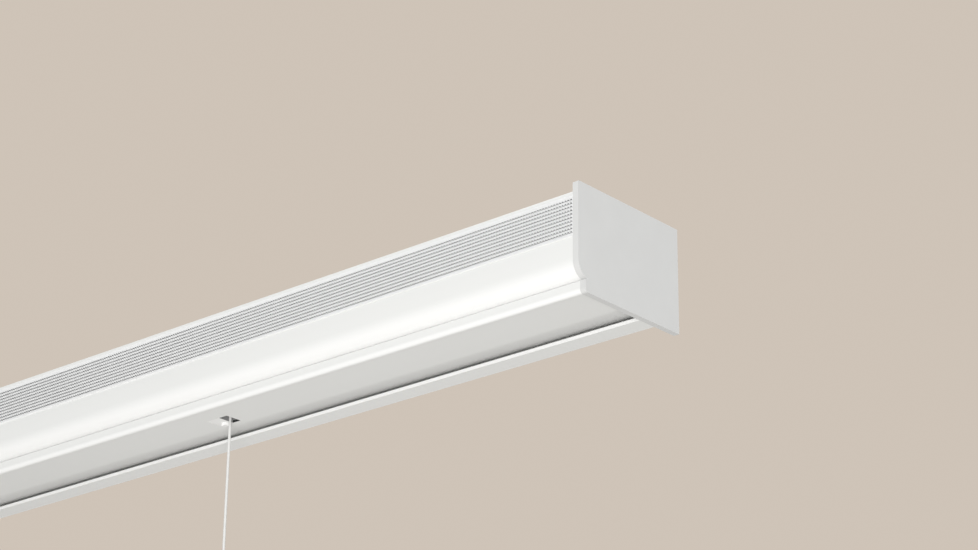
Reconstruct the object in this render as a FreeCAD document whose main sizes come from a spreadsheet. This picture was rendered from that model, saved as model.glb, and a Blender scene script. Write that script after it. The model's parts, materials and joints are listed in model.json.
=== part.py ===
"""Headrail of a Roman blind, with battery drive, lift drums and ceiling brackets.

X runs along the rail from its middle, Y towards the wall and Z up. The origin is the
centre of the four ceiling screws, on the ceiling. Sections are drawn from the end
plate's front edge (u, to the wall) and from the ceiling (v, up).
"""
import FreeCAD, Part
import math
import os
import Sketcher

SIZES = {
    # Whole headrail and its end plates
    "overall_length": 900.0,
    "plate_height": 53.0,
    "plate_depth": 74.0,
    "plate_thickness": 3.2,
    "plate_corner_radius": 0.8,
    "plate_notch_depth": 1.2,
    "plate_overhang_top": 3.3,
    "plate_overhang_front": 0.5,
    "plate_overhang_base": 0.3,
    "plug_reach": 12.0,
    "plug_wall": 1.2,
    # Rail section
    "rail_depth": 59.2,
    "rail_wall": 1.5,
    "rail_top_radius": 3.0,
    "rail_flat_height": 35.2,
    "rail_curve_radius": 7.4,
    "rail_back_radius": 0.8,
    "rail_hole_clearance": 0.6,
    "nose_setback": 4.8,
    "nose_width": 3.4,
    "nose_height": 6.1,
    "nose_edge_radius": 0.5,
    "front_lip": 14.0,
    "rear_lip": 8.7,
    "flange_depth": 11.0,
    "flange_thickness": 1.8,
    "sweep_run": 22.0,
    "sweep_radius": 52.0,
    # Hook tape on the front
    "tape_drop": 3.1,
    "tape_height": 20.1,
    "tape_backing": 0.5,
    "hook_height": 0.9,
    "hook_row_width": 0.7,
    "hook_row_pitch": 1.78,
    "hook_first_row": 2.75,
    "hook_last_row": 1.2,
    # Drive line
    "axis_depth": 18.3,
    "axis_drop": 26.5,
    "shaft_width": 6.0,
    "shaft_clearance": 0.05,
    "shaft_end_gap": 4.0,
    "running_clearance": 0.08,
    "seat_clearance": 0.3,
    "guide_clearance": 0.15,
    "drum_motor_gap": 12.9,
    "cut_overrun": 1.0,
    # Lift cord and its drum
    "cord_inset": 255.5,
    "cord_diameter": 1.4,
    "cord_end_drop": 123.0,
    "drum_core_radius": 10.0,
    "drum_core_length": 44.0,
    "drum_lead": 4.0,
    "drum_ramp_length": 3.0,
    "drum_ramp_height": 1.6,
    "drum_flange_radius": 14.0,
    "drum_flange_thickness": 2.0,
    "drum_journal_radius": 6.0,
    "drum_journal_length": 6.0,
    "wound_length": 25.0,
    "anchor_radius": 1.4,
    "anchor_length": 3.4,
    # Cradle that carries the drum
    "cradle_wall": 4.0,
    "cradle_radius": 16.0,
    "cradle_floor": 2.0,
    "cradle_snap_width": 10.4,
    "keeper_wall": 1.2,
    "keeper_window_inset": 9.7,
    "keeper_window_width": 14.8,
    "outlet_left": 9.9,
    "outlet_right": 4.6,
    "outlet_front": 22.4,
    "outlet_depth": 9.8,
    "outlet_plate_edge": 1.2,
    "outlet_clearance": 0.25,
    "lug_width": 2.6,
    "lug_drop": 1.2,
    "eyelet_radius": 2.4,
    "eyelet_bore_radius": 1.0,
    "eyelet_height": 2.5,
    "eyelet_edge_radius": 0.75,
    # Fitting on the cord's end
    "fitting_radius": 3.4,
    "fitting_height": 13.0,
    "fitting_eye_radius": 4.2,
    "fitting_eye_bore_radius": 2.0,
    "fitting_eye_thickness": 3.0,
    # Drive
    "motor_radius": 14.0,
    "motor_length": 160.0,
    "motor_end_radius": 1.0,
    "crimp_inset": 5.0,
    "crimp_width": 1.6,
    "crimp_depth": 0.5,
    "head_length": 18.8,
    "head_radius": 14.5,
    "spindle_radius": 4.0,
    "spindle_length": 8.0,
    "coupling_radius": 9.0,
    "coupling_length": 14.0,
    "saddle_length": 10.0,
    "saddle_snap_width": 23.8,
    "saddle_inset": 14.0,
    "button_radius": 2.5,
    "button_reach": 0.6,
    "button_travel": 1.0,
    "button_collar_radius": 3.5,
    "button_collar_height": 1.0,
    "button_depth": 14.5,
    "button_shelf": 2.0,
    "button_edge_radius": 0.5,
    "socket_width": 9.0,
    "socket_height": 3.4,
    "socket_wall": 0.4,
    "socket_length": 6.0,
    "socket_contact_width": 6.3,
    "socket_contact_thickness": 0.64,
    "socket_depth": 25.5,
    # Bearing at the far end of the shaft
    "bush_radius": 6.0,
    "bush_length": 9.0,
    "bush_flange_radius": 8.0,
    "bush_flange_thickness": 1.5,
    "bearing_wall": 3.0,
    # Stop collars on the shaft
    "collar_radius": 7.5,
    "collar_length": 6.0,
    "grub_radius": 1.5,
    "grub_length": 3.2,
    # Mounting bracket
    "bracket_inset": 120.0,
    "bracket_thickness": 1.5,
    "bracket_width": 34.0,
    "bracket_edge": 10.0,
    "bracket_leg": 40.0,
    "bracket_bend_radius": 2.5,
    "bracket_corner_radius": 4.0,
    "screw_radius": 2.25,
    "screw_front": 23.0,
    "screw_rear": 63.0,
    "wall_screw_upper": 14.0,
    "wall_screw_lower": 30.0,
    "tongue_width": 14.0,
    "tongue_tip": 10.5,
    "tongue_back": 18.0,
    "bead_front": 9.8,
    "bead_width": 4.6,
    "bead_slope": 1.2,
    "rear_bead_width": 8.0,
    # Swivelling lock lever of the bracket
    "lever_offset": 14.0,
    "lever_pivot_depth": 40.0,
    "lever_arm_gap": 3.5,
    "lever_arm_radius": 4.5,
    "lever_arm_thickness": 1.1,
    "lever_hub_radius": 5.0,
    "lever_cam_radius": 6.0,
    "lever_cam_gap": 1.7,
    "lever_cam_thickness": 2.0,
    "rivet_radius": 2.5,
    "rivet_head_radius": 4.2,
    "rivet_head_height": 1.2,
    "rivet_sink_depth": 1.2,
}

doc = FreeCAD.newDocument("roman_blind_headrail")
sheet = doc.addObject("Spreadsheet::Sheet", "sheet")


class Dim:
    """A length that carries its number and the sheet formula that gives it."""

    def __init__(self, text, value):
        self.text = text
        self.value = value

    def __add__(self, other):
        return Dim(f"({self.text} + {text_of(other)})", self.value + value_of(other))

    def __sub__(self, other):
        return Dim(f"({self.text} - {text_of(other)})", self.value - value_of(other))

    def __mul__(self, other):
        return Dim(f"({self.text} * {text_of(other)})", self.value * value_of(other))

    def __truediv__(self, other):
        return Dim(f"({self.text} / {text_of(other)})", self.value / value_of(other))

    def __neg__(self):
        return Dim(f"(0 - {self.text})", -self.value)


def text_of(length):
    return length.text if isinstance(length, Dim) else repr(float(length))


def value_of(length):
    return length.value if isinstance(length, Dim) else float(length)


def root_of(square):
    return Dim(f"sqrt({square.text})", math.sqrt(square.value))


def leg_of(longest, other):
    """The third side of a right-angled triangle."""
    return root_of(longest * longest - other * other)


def whole_part(ratio):
    return Dim(f"floor({ratio.text})", math.floor(ratio.value))


class Sizes:
    """The driving sizes by name, each tied to its cell."""


size = Sizes()
for line, (name, number) in enumerate(SIZES.items(), start=1):
    cell = f"B{line}"
    sheet.set(f"A{line}", name)
    sheet.set(cell, str(number))
    sheet.setAlias(cell, name)
    setattr(size, name, Dim(f"sheet.{name}", number))
doc.recompute()

ZERO = Dim("0", 0.0)
HALF = 0.5
NEAR = 0.001


# Features

def bind(thing, prop, length):
    thing.setExpression(prop, text_of(length))


def place(thing, x=ZERO, depth=ZERO, height=ZERO):
    """Put a piece drawn from the plate's front edge and the ceiling into the row's frame."""
    bind(thing, "Placement.Base.x", x)
    bind(thing, "Placement.Base.y", depth - pattern_depth)
    bind(thing, "Placement.Base.z", height)


def new_body(label, x=ZERO, depth=ZERO, height=ZERO):
    body = doc.addObject("PartDesign::Body", label)
    body.Label = label
    place(body, x, depth, height)
    return body


def sketch_on(body, role, offset=ZERO):
    """A sketch on one of the body's own origin planes, moved along that plane's normal."""
    drawing = body.newObject("Sketcher::SketchObject", f"{body.Name}_sketch")
    support = [plane for plane in body.Origin.OriginFeatures if plane.Role == role][0]
    drawing.AttachmentSupport = (support, [""])
    drawing.MapMode = "FlatFace"
    bind(drawing, "AttachmentOffset.Base.z", offset)
    return drawing


def fix_point(drawing, edge, end, u, v):
    """Tie one point of a sketch to two lengths from the sketch's axes, which count as -1 and -2."""
    for kind, axis, length in (("DistanceX", -2, u), ("DistanceY", -1, v)):
        if value_of(length) == 0.0:
            drawing.addConstraint(Sketcher.Constraint("PointOnObject", edge, end, axis))
            continue
        number = drawing.addConstraint(Sketcher.Constraint(kind, edge, end, value_of(length)))
        bind(drawing, f"Constraints[{number}]", length)


def outline(drawing, corners):
    """Closed outline. A corner (u, v, radius, turn) is reached by an arc: turn 1 is to the left."""
    spots = [FreeCAD.Vector(value_of(c[0]), value_of(c[1]), 0) for c in corners]
    up = FreeCAD.Vector(0, 0, 1)
    edges = []
    for index, corner in enumerate(corners):
        start, end = spots[index - 1], spots[index]
        if len(corner) == 2:
            edges.append((drawing.addGeometry(Part.LineSegment(start, end)), 1, 2))
            continue
        radius, turn = corner[2], corner[3]
        chord = end - start
        rise = math.sqrt(max(radius.value ** 2 - (chord.Length / 2) ** 2, 0.0))
        sideways = up.cross(chord).normalize()
        centre = start + chord * HALF + sideways * (rise * turn)
        circle = Part.Circle(centre, up, radius.value)
        first, last = (start, end) if turn > 0 else (end, start)
        angles = [math.atan2(p.y - centre.y, p.x - centre.x) for p in (first, last)]
        arc = drawing.addGeometry(Part.ArcOfCircle(circle, angles[0], angles[1]))
        edges.append((arc, 1, 2) if turn > 0 else (arc, 2, 1))
        number = drawing.addConstraint(Sketcher.Constraint("Radius", arc, radius.value))
        bind(drawing, f"Constraints[{number}]", radius)
    for index, (edge, _, end) in enumerate(edges):
        following, start, _ = edges[(index + 1) % len(edges)]
        drawing.addConstraint(Sketcher.Constraint("Coincident", edge, end, following, start))
        fix_point(drawing, edge, end, corners[index][0], corners[index][1])


def rectangle(drawing, low_u, high_u, low_v, high_v):
    outline(drawing, [(low_u, low_v), (high_u, low_v), (high_u, high_v), (low_u, high_v)])


def circle(drawing, u, v, radius):
    spot = FreeCAD.Vector(value_of(u), value_of(v), 0)
    normal = FreeCAD.Vector(0, 0, 1)
    ring = drawing.addGeometry(Part.Circle(spot, normal, value_of(radius)))
    number = drawing.addConstraint(Sketcher.Constraint("Radius", ring, value_of(radius)))
    bind(drawing, f"Constraints[{number}]", radius)
    fix_point(drawing, ring, 3, u, v)


def slot_outline(drawing, half_width, tail):
    """A rounded bar from the sketch's origin up to tail, as wide as two half widths."""
    up = FreeCAD.Vector(0, 0, 1)
    ends = []
    for height, first, last in ((tail, 0.0, math.pi), (ZERO, math.pi, 2 * math.pi)):
        spot = FreeCAD.Vector(0, height.value, 0)
        ring = Part.Circle(spot, up, half_width.value)
        ends.append(drawing.addGeometry(Part.ArcOfCircle(ring, first, last)))
        fix_point(drawing, ends[-1], 3, ZERO, height)
    sides = []
    for side in (-1, 1):
        low = FreeCAD.Vector(side * half_width.value, 0, 0)
        high = FreeCAD.Vector(side * half_width.value, tail.value, 0)
        sides.append(drawing.addGeometry(Part.LineSegment(low, high)))
    upper, lower = ends
    left, right = sides
    for line, line_end, arc, arc_end in (
        (right, 2, upper, 1), (left, 2, upper, 2), (left, 1, lower, 1), (right, 1, lower, 2)
    ):
        drawing.addConstraint(Sketcher.Constraint("Tangent", line, line_end, arc, arc_end))
    number = drawing.addConstraint(Sketcher.Constraint("Radius", upper, half_width.value))
    bind(drawing, f"Constraints[{number}]", half_width)


def pad(body, drawing, length, backwards=False, symmetric=False):
    feature = body.newObject("PartDesign::Pad", f"{body.Name}_pad")
    feature.Profile = drawing
    feature.Reversed = backwards
    if symmetric:
        feature.SideType = "Symmetric"
    bind(feature, "Length", length)
    return feature


def cut_through(body, drawing):
    """Cut a sketch's shape right through the body, both ways from the sketch."""
    feature = body.newObject("PartDesign::Pocket", f"{body.Name}_pocket")
    feature.Profile = drawing
    feature.SideType = "Symmetric"
    feature.Type = "ThroughAll"
    return feature


def cut_deep(body, drawing, length, backwards=False):
    """Cut a sketch's shape to a depth, against its plane's normal unless backwards."""
    feature = body.newObject("PartDesign::Pocket", f"{body.Name}_pocket")
    feature.Profile = drawing
    feature.Reversed = backwards
    bind(feature, "Length", length)
    return feature


def turned(body, corners, role="XZ_Plane", axis="H_Axis"):
    """Turn an outline round one of its sketch's axes."""
    drawing = sketch_on(body, role)
    outline(drawing, corners)
    feature = body.newObject("PartDesign::Revolution", f"{body.Name}_turn")
    feature.Profile = drawing
    feature.ReferenceAxis = (drawing, [axis])
    feature.Angle = 360
    return feature


# Lengths worked out from the driving sizes

pattern_depth = (size.screw_front + size.screw_rear) * HALF

half_rail = size.overall_length * HALF - size.plate_thickness

rail_front = size.plate_overhang_front
rail_back = rail_front + size.rail_depth
rail_top = -size.plate_overhang_top
rail_base = -(size.plate_height - size.plate_overhang_base)
inner_front = rail_front + size.rail_wall
inner_back = rail_back - size.rail_wall
lip_under = rail_top - size.rail_wall
curve_start = rail_top - size.rail_flat_height
curve_centre = rail_front + size.rail_curve_radius
nose_front = rail_front + size.nose_setback
nose_radius = size.nose_width * HALF
nose_back = nose_front + size.nose_width
nose_top = rail_base + size.nose_height
underside = rail_base + nose_radius
floor_top = underside + size.rail_wall
step_back = nose_back + size.seat_clearance
flange_front = rail_back - size.flange_depth
sweep_start = inner_back - size.sweep_run
sweep_inner = size.sweep_radius - size.rail_wall
sweep_end = underside + size.sweep_radius - leg_of(size.sweep_radius, size.sweep_run)
sweep_top = floor_top + sweep_inner - leg_of(sweep_inner, size.sweep_run)
curve_inner = size.rail_curve_radius - size.rail_wall
shelf = curve_start - curve_inner

axis_height = -size.axis_drop
cord_depth = size.axis_depth + size.drum_core_radius + size.seat_clearance + size.cord_diameter * HALF
anchor_height = size.drum_core_radius + size.anchor_radius + size.shaft_clearance

drum_right = size.drum_lead
drum_left = size.drum_lead - size.drum_core_length
side_gap = size.seat_clearance + size.drum_flange_thickness
wall_right = drum_right + side_gap
wall_left = drum_left - side_gap
cradle_right = wall_right + size.cradle_wall
cradle_left = wall_left - size.cradle_wall
base_front = step_back + size.seat_clearance
base_back = size.axis_depth + size.cradle_radius
outlet_back = size.outlet_front + size.outlet_depth

motor_left = size.head_length - half_rail
motor_right = motor_left + size.motor_length
coupling_start = motor_right + size.seat_clearance
coupling_end = coupling_start + size.coupling_length
shaft_start = coupling_start + size.shaft_end_gap
shaft_end = half_rail - size.shaft_end_gap
bore_width = size.shaft_width + size.shaft_clearance * 2
cord_places = {
    "right": size.overall_length * HALF - size.cord_inset,
    "left": coupling_end + size.drum_motor_gap - cradle_left,
}

bracket_place = size.overall_length * HALF - size.bracket_inset
strip_under = -size.bracket_thickness
tongue_top = lip_under - size.seat_clearance
tongue_under = tongue_top - size.bracket_thickness
lever_arm_top = strip_under - size.seat_clearance
lever_arm_under = lever_arm_top - size.lever_arm_thickness
cam_top = lip_under - size.seat_clearance
cam_under = cam_top - size.lever_cam_thickness
lever_room = size.plate_depth - size.bracket_thickness - size.lever_pivot_depth
lever_arm_length = lever_room - size.lever_arm_gap
lever_cam_reach = inner_back - size.lever_pivot_depth - size.lever_cam_gap
lever_cam_length = lever_cam_reach - size.lever_cam_radius

turns = {"right": 1, "left": -1}


# Rail and what closes it

def rail_section(drawing):
    corner, curve = size.rail_top_radius, size.rail_curve_radius
    outline(drawing, [
        (rail_front + size.front_lip, rail_top),
        (rail_front + corner, rail_top),
        (rail_front, rail_top - corner, corner, 1),
        (rail_front, curve_start),
        (curve_centre, curve_start - curve, curve, 1),
        (curve_centre, nose_top),
        (nose_front + size.nose_edge_radius, nose_top),
        (nose_front, nose_top - size.nose_edge_radius, size.nose_edge_radius, 1),
        (nose_front, underside),
        (nose_front + nose_radius, rail_base, nose_radius, 1),
        (nose_back, underside, nose_radius, 1),
        (sweep_start, underside),
        (inner_back, sweep_end, size.sweep_radius, 1),
        (inner_back, rail_base + size.flange_thickness),
        (flange_front, rail_base + size.flange_thickness),
        (flange_front, rail_base),
        (rail_back, rail_base),
        (rail_back, rail_top - size.rail_back_radius),
        (rail_back - size.rail_back_radius, rail_top, size.rail_back_radius, 1),
        (rail_back - size.rear_lip, rail_top),
        (rail_back - size.rear_lip, lip_under),
        (inner_back, lip_under),
        (inner_back, sweep_top),
        (sweep_start, floor_top, sweep_inner, -1),
        (step_back, floor_top),
        (step_back, shelf),
        (curve_centre, shelf),
        (inner_front, curve_start, curve_inner, -1),
        (inner_front, rail_top - corner),
        (rail_front + corner, lip_under, corner - size.rail_wall, -1),
        (rail_front + size.front_lip, lip_under),
    ])


def make_rail():
    body = new_body("rail_profile")
    section = sketch_on(body, "YZ_Plane")
    rail_section(section)
    pad(body, section, half_rail * 2, symmetric=True)
    outlets = sketch_on(body, "XY_Plane", underside)
    for place_x in cord_places.values():
        rectangle(outlets, place_x - size.outlet_left, place_x + size.outlet_right,
                  size.outlet_front, outlet_back)
    button_x = size.head_length * HALF - half_rail
    circle(outlets, button_x, size.button_depth, size.button_radius + size.rail_hole_clearance)
    half_width = size.socket_width * HALF + size.rail_hole_clearance
    half_height = size.socket_height * HALF + size.rail_hole_clearance
    rectangle(outlets, button_x - half_width, button_x + half_width,
              size.socket_depth - half_height, size.socket_depth + half_height)
    cut_through(body, outlets)


def make_tape():
    body = new_body("hook_tape")
    top = rail_top - size.tape_drop
    front = rail_front - size.tape_backing
    backing = sketch_on(body, "YZ_Plane")
    outline(backing, [(front, top - size.tape_height), (rail_front, top - size.tape_height),
                      (rail_front, top), (front, top)])
    pad(body, backing, half_rail * 2, symmetric=True)
    row = sketch_on(body, "YZ_Plane")
    middle = top - size.hook_first_row
    foot = size.hook_row_width * HALF
    tip = foot * HALF
    outline(row, [(front, middle - foot), (front, middle + foot),
                  (front - size.hook_height, middle + tip), (front - size.hook_height, middle - tip)])
    ridge = pad(body, row, half_rail * 2, symmetric=True)
    rows = body.newObject("PartDesign::LinearPattern", "hook_row_pattern")
    rows.Originals = [ridge]
    rows.Direction = (row, ["V_Axis"])
    rows.Reversed = True
    rows.Mode = "Extent"
    reach = size.tape_height - size.hook_first_row - size.hook_last_row
    gaps = whole_part(reach / size.hook_row_pitch)
    bind(rows, "Length", size.hook_row_pitch * gaps)
    bind(rows, "Occurrences", gaps + 1)
    body.Tip = rows


def plate_section(drawing):
    """The end plate follows the rail's front, stands proud of it and reaches back to the wall."""
    curve = size.rail_curve_radius + size.plate_overhang_front
    base = -size.plate_height
    nose = nose_front - size.plate_overhang_base
    notch = nose + size.plate_notch_depth
    across = curve_centre - notch
    notch_top = curve_start - leg_of(curve, across)
    corner = size.plate_corner_radius
    lower = nose_radius + size.plate_overhang_base
    outline(drawing, [
        (size.plate_depth, ZERO),
        (corner, ZERO),
        (ZERO, -corner, corner, 1),
        (ZERO, curve_start),
        (notch, notch_top, curve, 1),
        (notch, nose_top - size.plate_overhang_base),
        (nose, nose_top - size.plate_overhang_base),
        (nose, base + lower),
        (nose + lower, base, lower, 1),
        (size.plate_depth, base),
    ])


def plug_ribs(drawing, floor_rib_front):
    """Three ribs that push into the rail: behind its front, before its back and on its floor."""
    gap, wall = size.seat_clearance, size.plug_wall
    top = lip_under - gap
    front, back, low = inner_front + gap, inner_back - gap, floor_top + gap * HALF
    rectangle(drawing, front, front + wall, curve_start, top - size.rail_top_radius)
    rectangle(drawing, back - wall, back, sweep_top + gap, top)
    rectangle(drawing, floor_rib_front, sweep_start, low, low + wall)


def make_plate(side):
    body = new_body(f"end_plate_{side}")
    turn = turns[side]
    seat = half_rail * turn
    inwards = turn > 0
    face = sketch_on(body, "YZ_Plane", seat)
    plate_section(face)
    pad(body, face, size.plate_thickness, backwards=not inwards)
    ribs = sketch_on(body, "YZ_Plane", seat)
    behind_head = size.axis_depth + size.head_radius + size.seat_clearance
    plug_ribs(ribs, base_front if side == "right" else behind_head)
    pad(body, ribs, size.plug_reach, backwards=inwards)
    if side == "right":
        boss = sketch_on(body, "YZ_Plane", seat)
        circle(boss, size.axis_depth, axis_height, size.bush_radius + size.bearing_wall)
        pad(body, boss, size.plug_reach, backwards=True)
        bore = sketch_on(body, "YZ_Plane", seat)
        circle(bore, size.axis_depth, axis_height, size.bush_radius + size.running_clearance)
        doc.recompute()
        cut_deep(body, bore, size.plug_reach)


# Drive line

def square_outline(drawing, width):
    reach = width * HALF
    rectangle(drawing, -reach, reach, -reach, reach)


def square_bore(body):
    bore = sketch_on(body, "YZ_Plane")
    square_outline(bore, bore_width)
    cut_through(body, bore)


def on_axis(label, x):
    """A piece drawn round the drive axis, at a place along the rail."""
    return new_body(label, x, size.axis_depth, axis_height)


def make_shaft():
    body = on_axis("drive_shaft", shaft_start)
    section = sketch_on(body, "YZ_Plane")
    square_outline(section, size.shaft_width)
    pad(body, section, shaft_end - shaft_start)


def make_bush():
    body = on_axis("shaft_end_bush", half_rail - size.plug_reach)
    flange_near = -size.seat_clearance
    flange_far = flange_near - size.bush_flange_thickness
    turned(body, [
        (flange_far, ZERO),
        (size.bush_length, ZERO),
        (size.bush_length, size.bush_radius),
        (flange_near, size.bush_radius),
        (flange_near, size.bush_flange_radius),
        (flange_far, size.bush_flange_radius),
    ])
    square_bore(body)


def make_coupling():
    body = on_axis("motor_output_coupling", coupling_start)
    turned(body, [
        (-size.spindle_length, ZERO),
        (size.coupling_length, ZERO),
        (size.coupling_length, size.coupling_radius),
        (ZERO, size.coupling_radius),
        (ZERO, size.spindle_radius),
        (-size.spindle_length, size.spindle_radius),
    ])
    bore = sketch_on(body, "YZ_Plane", size.coupling_length)
    square_outline(bore, bore_width)
    doc.recompute()
    cut_deep(body, bore, size.coupling_length - size.shaft_end_gap)


def make_drum(side):
    """The drum, with a ramp by its right flange that pushes each new turn of cord along."""
    body = on_axis(f"cord_drum_{side}", cord_places[side])
    flange = size.drum_flange_thickness
    turned(body, [
        (drum_left - flange - size.drum_journal_length, ZERO),
        (drum_right + flange + size.drum_journal_length, ZERO),
        (drum_right + flange + size.drum_journal_length, size.drum_journal_radius),
        (drum_right + flange, size.drum_journal_radius),
        (drum_right + flange, size.drum_flange_radius),
        (drum_right, size.drum_flange_radius),
        (drum_right, size.drum_core_radius + size.drum_ramp_height),
        (drum_right - size.drum_ramp_length, size.drum_core_radius),
        (drum_left, size.drum_core_radius),
        (drum_left, size.drum_flange_radius),
        (drum_left - flange, size.drum_flange_radius),
        (drum_left - flange, size.drum_journal_radius),
        (drum_left - flange - size.drum_journal_length, size.drum_journal_radius),
    ])
    square_bore(body)
    pocket = sketch_on(body, "YZ_Plane", drum_left - flange)
    circle(pocket, ZERO, anchor_height, size.anchor_radius + size.shaft_clearance)
    doc.recompute()
    cut_deep(body, pocket, size.anchor_length, backwards=True)


def make_anchor(side):
    body = on_axis(f"cord_anchor_{side}", cord_places[side])
    section = sketch_on(body, "YZ_Plane", drum_left - size.drum_flange_thickness)
    circle(section, ZERO, anchor_height, size.anchor_radius)
    pad(body, section, size.anchor_length)


def make_winding(side):
    """The cord on the drum as one sleeve, which starts beside the cord that hangs down."""
    body = on_axis(f"wound_cord_{side}", cord_places[side])
    inner = size.drum_core_radius + size.shaft_clearance
    outer = size.drum_core_radius + size.seat_clearance + size.cord_diameter
    near = -(size.cord_diameter * HALF + size.shaft_clearance)
    far = near - size.wound_length
    turned(body, [(far, inner), (near, inner), (near, outer), (far, outer)])


def make_collars():
    """Two stop collars, one each side of the right drum's journals, and their grub screws."""
    reach = size.drum_flange_thickness + size.drum_journal_length + size.seat_clearance
    starts = (
        cord_places["right"] + drum_left - reach - size.collar_length,
        cord_places["right"] + drum_right + reach,
    )
    rings, screws = [], []
    for number, start in enumerate(starts, start=1):
        ring = doc.addObject("Part::Cylinder", f"collar_ring_{number}")
        bind(ring, "Radius", size.collar_radius)
        bind(ring, "Height", size.collar_length)
        ring.Placement.Rotation = FreeCAD.Rotation(FreeCAD.Vector(0, 1, 0), 90)
        place(ring, start, size.axis_depth, axis_height)
        bore = doc.addObject("Part::Box", f"collar_bore_{number}")
        bind(bore, "Length", size.collar_length + size.cut_overrun * 2)
        bind(bore, "Width", bore_width)
        bind(bore, "Height", bore_width)
        half_bore = bore_width * HALF
        place(bore, start - size.cut_overrun, size.axis_depth - half_bore, axis_height - half_bore)
        thread = doc.addObject("Part::Cylinder", f"collar_thread_{number}")
        bind(thread, "Radius", size.grub_radius + size.shaft_clearance)
        bind(thread, "Height", size.collar_radius + size.cut_overrun)
        middle = start + size.collar_length * HALF
        place(thread, middle, size.axis_depth, axis_height)
        bored = doc.addObject("Part::Cut", f"collar_bored_{number}")
        bored.Base, bored.Tool = ring, bore
        collar = doc.addObject("Part::Cut", f"collar_{number}")
        collar.Base, collar.Tool = bored, thread
        rings.append(collar)
        screw = doc.addObject("Part::Cylinder", f"grub_{number}")
        bind(screw, "Radius", size.grub_radius)
        bind(screw, "Height", size.grub_length)
        shaft_face = axis_height + size.shaft_width * HALF
        place(screw, middle, size.axis_depth, shaft_face)
        hexagon = doc.addObject("Part::Prism", f"grub_hex_{number}")
        hexagon.Polygon = 6
        bind(hexagon, "Circumradius", size.grub_radius * HALF)
        bind(hexagon, "Height", size.grub_length)
        place(hexagon, middle, size.axis_depth, shaft_face + size.grub_length * HALF)
        socketed = doc.addObject("Part::Cut", f"grub_socketed_{number}")
        socketed.Base, socketed.Tool = screw, hexagon
        screws.append(socketed)
    for label, solids in (("shaft_collars", rings), ("collar_grub_screws", screws)):
        group = doc.addObject("Part::Compound", label)
        group.Links = solids
        group.Label = label


# Cradles

def saddle_section(drawing, radius, top):
    """A block that stands on the rail's floor and rises round the drive axis up to top."""
    left, right = size.axis_depth - radius, size.axis_depth + radius
    corners = [
        (base_front, floor_top),
        (right, floor_top),
        (right, axis_height),
    ]
    if top is None:
        corners.append((size.axis_depth, axis_height + radius, radius, 1))
        corners.append((left, axis_height, radius, 1))
    else:
        corners.append((right, top))
        corners.append((left, top))
    corners.append((left, curve_start))
    corners.append((base_front - size.seat_clearance, shelf + size.seat_clearance))
    corners.append((base_front, shelf + size.seat_clearance * HALF))
    outline(drawing, corners)


def snap_bore(body, plane_offset, radius, width, length):
    """A bearing bore with a narrower slot above it, so that a journal snaps in from the top."""
    drawing = sketch_on(body, "YZ_Plane", plane_offset)
    circle(drawing, size.axis_depth, axis_height, radius)
    doc.recompute()
    cut_deep(body, drawing, length, backwards=True)
    drawing = sketch_on(body, "YZ_Plane", plane_offset)
    rectangle(drawing, size.axis_depth - width * HALF, size.axis_depth + width * HALF,
              axis_height, axis_height + size.cradle_radius + size.cut_overrun)
    doc.recompute()
    cut_deep(body, drawing, length, backwards=True)


def cradle_base(body):
    """The cradle's floor and fence, and the plug and lug that fill the left of the rail's outlet."""
    floor = sketch_on(body, "XY_Plane", floor_top)
    rectangle(floor, cradle_left, cradle_right, base_front, base_back)
    pad(body, floor, size.cradle_floor)
    fence = sketch_on(body, "XY_Plane", floor_top)
    rectangle(fence, cradle_left, cradle_right, base_back - size.keeper_wall, base_back)
    pad(body, fence, size.cradle_radius * HALF)
    gap = size.outlet_clearance
    plug_right = -size.outlet_plate_edge
    front, back = size.outlet_front + gap, outlet_back - gap
    plug = sketch_on(body, "XY_Plane", floor_top)
    rectangle(plug, gap - size.outlet_left, plug_right, front, back)
    pad(body, plug, size.rail_wall - gap * HALF, backwards=True)
    lug = sketch_on(body, "XY_Plane", underside + gap)
    lug_right = plug_right - size.lug_width * 2
    rectangle(lug, lug_right, lug_right + size.lug_width, back - size.lug_width, back)
    pad(body, lug, size.lug_drop + gap, backwards=True)
    mouth = sketch_on(body, "XY_Plane", floor_top)
    rectangle(mouth, plug_right, size.outlet_right - gap, front, back)
    doc.recompute()
    cut_deep(body, mouth, size.cradle_floor + size.cut_overrun, backwards=True)


def cradle_wall(body, start):
    wall = sketch_on(body, "YZ_Plane", start)
    saddle_section(wall, size.cradle_radius, None)
    pad(body, wall, size.cradle_wall)


def make_cradle(side):
    body = new_body(f"drum_cradle_{side}", cord_places[side])
    cradle_wall(body, cradle_left)
    cradle_base(body)
    cradle_wall(body, wall_right)
    bore = size.drum_journal_radius + size.running_clearance
    snap_bore(body, cradle_left, bore, size.cradle_snap_width, size.cradle_wall)
    snap_bore(body, wall_right, bore, size.cradle_snap_width, size.cradle_wall)


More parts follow.
